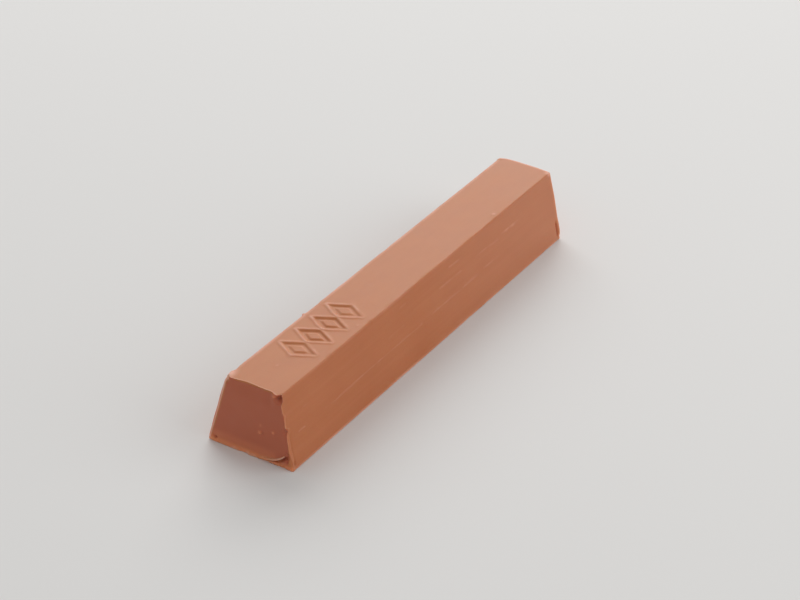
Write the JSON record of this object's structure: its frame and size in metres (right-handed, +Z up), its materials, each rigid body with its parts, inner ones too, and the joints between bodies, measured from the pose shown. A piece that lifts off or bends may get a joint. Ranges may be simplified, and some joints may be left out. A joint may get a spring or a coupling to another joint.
{
  "type": "furniture repair wax stick",
  "caption": "Solid trapezoidal bar of brown repair wax with knife-cut ends, rubbed or melted into dents and scratches in wooden furniture to fill them.",
  "frame": {"origin": "on the resting face, under the middle of the bar's box", "axes": "+X along the bar from its raked, punched end to its crowned end, +Z up from the broad base to the narrow top"},
  "size_m": [0.08, 0.0156, 0.012],
  "materials": {
    "wax": "soft satin wax, light brown"
  },
  "bodies": {
    "root": {"wax_bar": "wax"}
  },
  "joints": []
}
